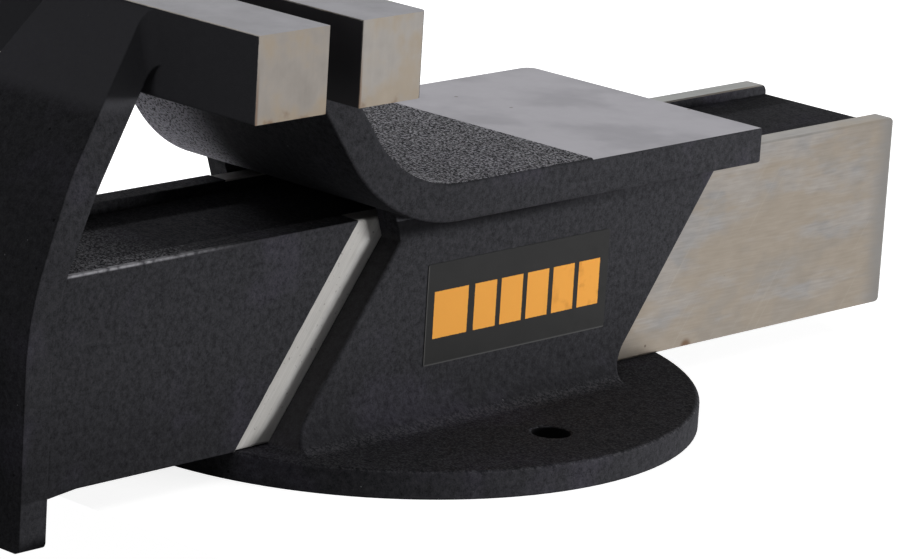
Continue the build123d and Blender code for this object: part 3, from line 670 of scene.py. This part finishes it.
dress("handle_bar", lined_steel("drawn_bar", (18, 1500, 1500), srgb(196, 195, 194)))
turned_knob = lined_steel("turned_knob", (1900, 24, 24), srgb(188, 187, 186))
dress("handle_knob_right", turned_knob)
dress("handle_knob_left", turned_knob)

# %% [markdown]
# ## The label
# A thin printed film on the body's side. What is printed is plain: a block and a row of
# equal bars in orange on black. Ink on film is flat and slightly worn, so noise eats a
# little of its edge and darkens one end. The film's front and lower edges carry a thin
# painted highlight.

# %% Printed film
INK_BLOCK = (5.0 * MM, 27.0 * MM)
INK_BARS = (31.5 * MM, 118.0 * MM)
INK_HEIGHT = (12.5 * MM, 34.5 * MM)
INK_BAR_PITCH = 17.5 * MM
INK_BAR_WIDTH = 14.3 * MM
INK = srgb(226, 158, 73)
INK_DULL = srgb(176, 116, 52)
INK_SOFTNESS = 0.15 * MM
INK_WORN = (60 * MM, 110 * MM)
FILM = srgb(37, 37, 37)
FILM_PALE = srgb(45, 45, 45)
# painted highlight on the film's edges: its tone and its width
FILM_EDGE_HIGHLIGHT = srgb(104, 104, 104)
FILM_HIGHLIGHT_RIM = (0.9 * MM, 0.3 * MM)


def printed_film():
    finish = Finish("printed_film", {"Specular IOR Level": 0.12})
    along = finish.y - label_low.y
    up = finish.z - label_low.z
    wobble = finish.noise(900, detail=1) * (0.4 * MM)

    def between(value, low, high):
        rise = finish.step(value + wobble, low, low + INK_SOFTNESS)
        return rise * finish.step(value - wobble, high, high - INK_SOFTNESS)

    bar_phase = add_node(finish.tree, "Math", {"operation": "MODULO"},
                         {0: along - INK_BARS[0], 1: INK_BAR_PITCH})
    bars = between(along, *INK_BARS) * between(bar_phase, 0, INK_BAR_WIDTH)
    ink = between(along, *INK_BLOCK).at_least(bars) * between(up, *INK_HEIGHT)
    ink = ink * (finish.facing_x > 0.5)
    wear = finish.step(finish.noise(150, detail=4), 0.5, 0.72) * finish.step(along, *INK_WORN)
    printed = finish.mix(wear * 0.5, INK, INK_DULL)
    film = finish.mix(finish.noise(70, detail=3), FILM, FILM_PALE)
    # painted highlight along the film's front and lower edges
    edge = finish.step(along, *FILM_HIGHLIGHT_RIM).at_least(finish.step(up, *FILM_HIGHLIGHT_RIM))
    edge_highlighted = finish.mix(edge * 0.35, film, FILM_EDGE_HIGHLIGHT)
    return finish.set(
        Base_Color=finish.mix(ink, edge_highlighted, printed),
        Roughness=0.5 + ink * 0.1 + wear * 0.08,
        Normal=finish.bump(finish.noise(60, detail=2), 0.05 * MM),
    )


dress("label_plate", printed_film())

# %% [markdown]
# ## The screw's thread
# In the solids the lead screw is a plain bar. The real one has a trapezoid thread, cut into
# the bar, so its crests are the bar's radius. The shape follows one rule: the radius at a
# point depends on how far along and how far round it is. Geometry Nodes say that directly: a
# flat grid is wrapped into a tube, and each point's radius comes from the rule.

# %% Thread rule
THREAD_PITCH = 6.0 * MM
THREAD_DEPTH = 2.6 * MM
THREAD_CREST = 15.0 * MM
THREAD_FLANK_START = 0.36
THREAD_FLANK_RUN = 0.28
END_CHAMFER = 3.0 * MM
JOURNAL_REAR = -213.3 * MM
STEPS_ROUND = 41
STEPS_PER_TURN = 8
CLOSED_END = 0.0005
MERGE_REACH = 0.01 * MM
SHARP_FROM = math.radians(30)
screw_axis_z = (screw_low.z + screw_high.z) / 2
screw_steel = plain_steel("turned_screw_steel", srgb(150, 149, 150), 0.3, grain=700)


def thread_tree():
    """Wraps a grid into a threaded bar along Y and closes both of its ends."""
    tree = bpy.data.node_groups.new("threaded_bar", "GeometryNodeTree")
    tree.interface.new_socket("Geometry", in_out="OUTPUT", socket_type="NodeSocketGeometry")
    sizes = {"Pitch": THREAD_PITCH, "Depth": THREAD_DEPTH, "Crest": THREAD_CREST,
             "Front": JOURNAL_REAR, "Rear": screw_high.y, "Axis Height": screw_axis_z}
    for name in sizes:
        tree.interface.new_socket(name, in_out="INPUT", socket_type="NodeSocketFloat")
    given = Tap(tree, tree.nodes.new("NodeGroupInput").outputs[0])
    pitch, crest, rear = given.out("Pitch"), given.out("Crest"), given.out("Rear")
    front = given.out("Front")
    rows = round((screw_high.y - JOURNAL_REAR) / THREAD_PITCH) * STEPS_PER_TURN
    grid = add_node(tree, "MeshGrid", None,
                    {"Size X": 1, "Size Y": 1, "Vertices X": STEPS_ROUND, "Vertices Y": rows})
    around = add_node(tree, "SeparateXYZ", None, {0: grid.out("UV Map")})
    along = around.out("Y")
    y = front + along * (rear - front)
    phase = (y / pitch - around).maths("FRACT", y / pitch - around)
    flank = (abs(phase - 0.5) * 2 - THREAD_FLANK_START) / THREAD_FLANK_RUN
    cut = crest - given.out("Depth") * flank.at_least(0).at_most(1)
    nose = cut.at_most(crest - END_CHAMFER + (rear - y))
    radius = nose * (along > CLOSED_END) * (along < 1 - CLOSED_END)
    turn = around * (2 * math.pi)
    place = add_node(tree, "CombineXYZ", None, {
        "X": radius * turn.maths("SINE", turn),
        "Y": y,
        "Z": radius * turn.maths("COSINE", turn) + given.out("Axis Height"),
    })
    wrapped = add_node(tree, "SetPosition", None, {"Geometry": grid, "Position": place})
    closed = add_node(tree, "MergeByDistance", None,
                      {"Geometry": wrapped, "Distance": MERGE_REACH})
    real = add_node(tree, "RealizeInstances", None, {"Geometry": closed})
    finished = add_node(tree, "SetMaterial", None, {"Geometry": real, "Material": screw_steel})
    feed(tree, tree.nodes.new("NodeGroupOutput").inputs[0], finished)
    return tree, sizes


def grown_object(name, tree, sizes):
    """Runs a tree with its sizes on an empty mesh and keeps the result as a plain mesh."""
    holder = bpy.data.objects.new(name, bpy.data.meshes.new(name))
    bpy.context.scene.collection.objects.link(holder)
    modifier = holder.modifiers.new(name, "NODES")
    modifier.node_group = tree
    for item in tree.interface.items_tree:
        if item.name in sizes:
            modifier[item.identifier] = sizes[item.name]
    bpy.context.view_layer.update()
    evaluated = holder.evaluated_get(bpy.context.evaluated_depsgraph_get())
    grown = bpy.data.meshes.new_from_object(evaluated)
    holder.modifiers.remove(modifier)
    holder.data = grown
    return holder


# %% [markdown]
# The head and the journal of the screw are right in the solids, with the cross hole for the
# handle. So they are copied, cut off where the thread starts, and joined to the new bar.

# %% Head and journal from the solid, thread from the rule
def threaded_screw():
    screw = grown_object("lead_screw_threaded", *thread_tree())
    joined = bmesh.new()
    joined.from_mesh(nodes["lead_screw"].data)
    bmesh.ops.remove_doubles(joined, verts=joined.verts, dist=0.000001)
    everything = joined.verts[:] + joined.edges[:] + joined.faces[:]
    cut = bmesh.ops.bisect_plane(joined, geom=everything, plane_co=(0, JOURNAL_REAR, 0),
                                 plane_no=(0, 1, 0), clear_outer=True)
    rim = [item for item in cut["geom_cut"] if isinstance(item, bmesh.types.BMEdge)]
    bmesh.ops.contextual_create(joined, geom=rim)
    joined.from_mesh(screw.data)
    bmesh.ops.recalc_face_normals(joined, faces=joined.faces)
    # Known fault: slot 0 is empty after the tree, and the steel is in slot 1, so the screw
    # shows the default grey.
    for face in joined.faces:
        face.smooth = True
        face.material_index = 0
    joined.to_mesh(screw.data)
    joined.free()
    screw.data.set_sharp_from_angle(angle=SHARP_FROM)
    return screw


screw = threaded_screw()
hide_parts("lead_screw")
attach(screw, "screw")
print("screw faces", len(screw.data.polygons), "materials", len(screw.data.materials))

# %% [markdown]
# ## Bench top, light and camera
# The vise stands on a pale bench top, with its upright hanging over the front edge, as such
# vises are mounted. It is a pale board that takes a soft shadow, with some glow of its own
# for the camera, so that it reads as white. Metal has no colour without something to
# mirror, so to a glossy ray the bench and the world are plain white, and the world is dim
# to everything else. The panels light the paint, and glossy rays don't see them.

# %% What the camera sees as white
def seen_directly(tree):
    """1 for rays that look at the backdrop: from the camera, off metal or through glass."""
    rays = add_node(tree, "LightPath")
    return rays.at_least(rays.out("Is Glossy Ray")).at_least(rays.out("Is Transmission Ray"))


# %% Bench top
BENCH_FRONT = -220.0 * MM
BENCH_REACH = 6.0
BENCH_TONE = (0.8, 0.8, 0.8)
NO_TONE = (0, 0, 0)
BENCH_GLOW = 0.86


def bench_top():
    mesh = bpy.data.meshes.new("bench_top")
    corners = [(-BENCH_REACH, BENCH_FRONT, 0), (BENCH_REACH, BENCH_FRONT, 0),
               (BENCH_REACH, BENCH_REACH, 0), (-BENCH_REACH, BENCH_REACH, 0)]
    mesh.from_pydata(corners, [], [(0, 1, 2, 3)])
    return bpy.data.objects.new("bench_top", mesh)


bench = bench_top()
bpy.context.scene.collection.objects.link(bench)
pale = Finish("pale_bench", {"Roughness": 0.9, "Specular IOR Level": 0.0,
                             "Emission Color": (1, 1, 1, 1)})
off_metal = add_node(pale.tree, "LightPath").out("Is Glossy Ray")
feed(pale.tree, pale.shader.inputs["Base Color"],
     pale.mix(off_metal, BENCH_TONE, NO_TONE))
feed(pale.tree, pale.shader.inputs["Emission Strength"],
     (seen_directly(pale.tree) * BENCH_GLOW).at_least(off_metal))
bench.data.materials.append(pale.material)

# %% World and lamps
WORLD_LIGHT = 0.06
SPOT_BLEND = 0.6


def white_world():
    world = bpy.data.worlds.new("white_studio")
    world.use_nodes = True
    tree = world.node_tree
    background = tree.nodes["Background"]
    background.inputs["Color"].default_value = (1, 1, 1, 1)
    strength = seen_directly(tree) * (1 - WORLD_LIGHT) + WORLD_LIGHT
    feed(tree, background.inputs["Strength"], strength)
    bpy.context.scene.world = world


def aimed(lamp, place, direction):
    """Hangs a lamp at its place and turns it along a direction."""
    holder = bpy.data.objects.new(lamp.name, lamp)
    bpy.context.scene.collection.objects.link(holder)
    holder.location = place
    holder.rotation_euler = direction.to_track_quat("-Z", "Y").to_euler()
    return holder


def soft_lamp(name, place, aim, width, height, level):
    """A panel of light; at level 1 a face turned to it at the aim has the colour as written."""
    lamp = bpy.data.lights.new(name, "AREA")
    lamp.shape = "RECTANGLE"
    lamp.size = width
    lamp.size_y = height
    direction = Vector(aim) - Vector(place)
    lamp.energy = level * (math.pi * direction.length) ** 2
    aimed(lamp, place, direction).visible_glossy = False


def bounce_spot(name, place, aim, cone, level):
    """A spot on the bench beside the vise, whose bounce reaches under the neck."""
    lamp = bpy.data.lights.new(name, "SPOT")
    lamp.spot_size = math.radians(cone)
    lamp.spot_blend = SPOT_BLEND
    direction = Vector(aim) - Vector(place)
    lamp.energy = level * (2 * math.pi * direction.length) ** 2
    aimed(lamp, place, direction)


# %% The lamps: name, place, aim, width and height or cone in degrees, level
PANELS = (
    ("right_panel", (1.15, 0.72, 0.13), (0.06, 0.08, 0.06), 0.5, 0.14, 1.1),
    ("left_panel", (-1.9, 0.4, 0.62), (0, 0, 0.11), 1.0, 0.1, 1.1),
    ("front_panel", (0.3, -1.4, 1.6), (0, 0, 0.1), 1.2, 1.2, 0.16),
)
BOUNCE = ("bounce_spot", (-0.5, -0.1, 1.3), (-0.36, -0.1, 0), 19, 4.5)

white_world()
for panel in PANELS:
    soft_lamp(*panel)
bounce_spot(*BOUNCE)
print("lamps:", len(PANELS) + 1)

# %% [markdown]
# The camera is far away with a long lens, so the vise is drawn almost without perspective.
# Its direction is an azimuth, an elevation and a small roll; its distance follows from how
# many pixels a metre covers at the origin.

# %% Camera
FRAME_WIDTH, FRAME_HEIGHT = 900, 559
FOCAL_PIXELS = 4800.0
PIXELS_PER_METRE = 2119.3
ORIGIN_PIXEL = (380.4, 402.0)
SENSOR_WIDTH = 36
FAR_CLIP = 50
AZIMUTH, ELEVATION, ROLL = (math.radians(angle) for angle in (43.48, 14.95, 3.50))


def place_camera():
    right = Vector((math.cos(AZIMUTH), math.sin(AZIMUTH), 0))
    back = Vector((math.sin(AZIMUTH) * math.cos(ELEVATION),
                   -math.cos(AZIMUTH) * math.cos(ELEVATION),
                   math.sin(ELEVATION)))
    up = back.cross(right)
    rolled_right = right * math.cos(ROLL) + up * math.sin(ROLL)
    rolled_up = up * math.cos(ROLL) - right * math.sin(ROLL)
    distance = FOCAL_PIXELS / PIXELS_PER_METRE
    sideways = (ORIGIN_PIXEL[0] - FRAME_WIDTH / 2) / PIXELS_PER_METRE
    upwards = (FRAME_HEIGHT / 2 - ORIGIN_PIXEL[1]) / PIXELS_PER_METRE
    place = back * distance - rolled_right * sideways - rolled_up * upwards
    camera = bpy.data.cameras.new("camera")
    camera.sensor_width = SENSOR_WIDTH
    camera.lens = SENSOR_WIDTH * FOCAL_PIXELS / FRAME_WIDTH
    camera.clip_end = FAR_CLIP
    holder = bpy.data.objects.new("camera", camera)
    bpy.context.scene.collection.objects.link(holder)
    turn = Matrix((rolled_right, rolled_up, back)).transposed()
    holder.matrix_world = Matrix.Translation(place) @ turn.to_4x4()
    bpy.context.scene.camera = holder


place_camera()
bpy.context.scene.view_settings.view_transform = "Standard"
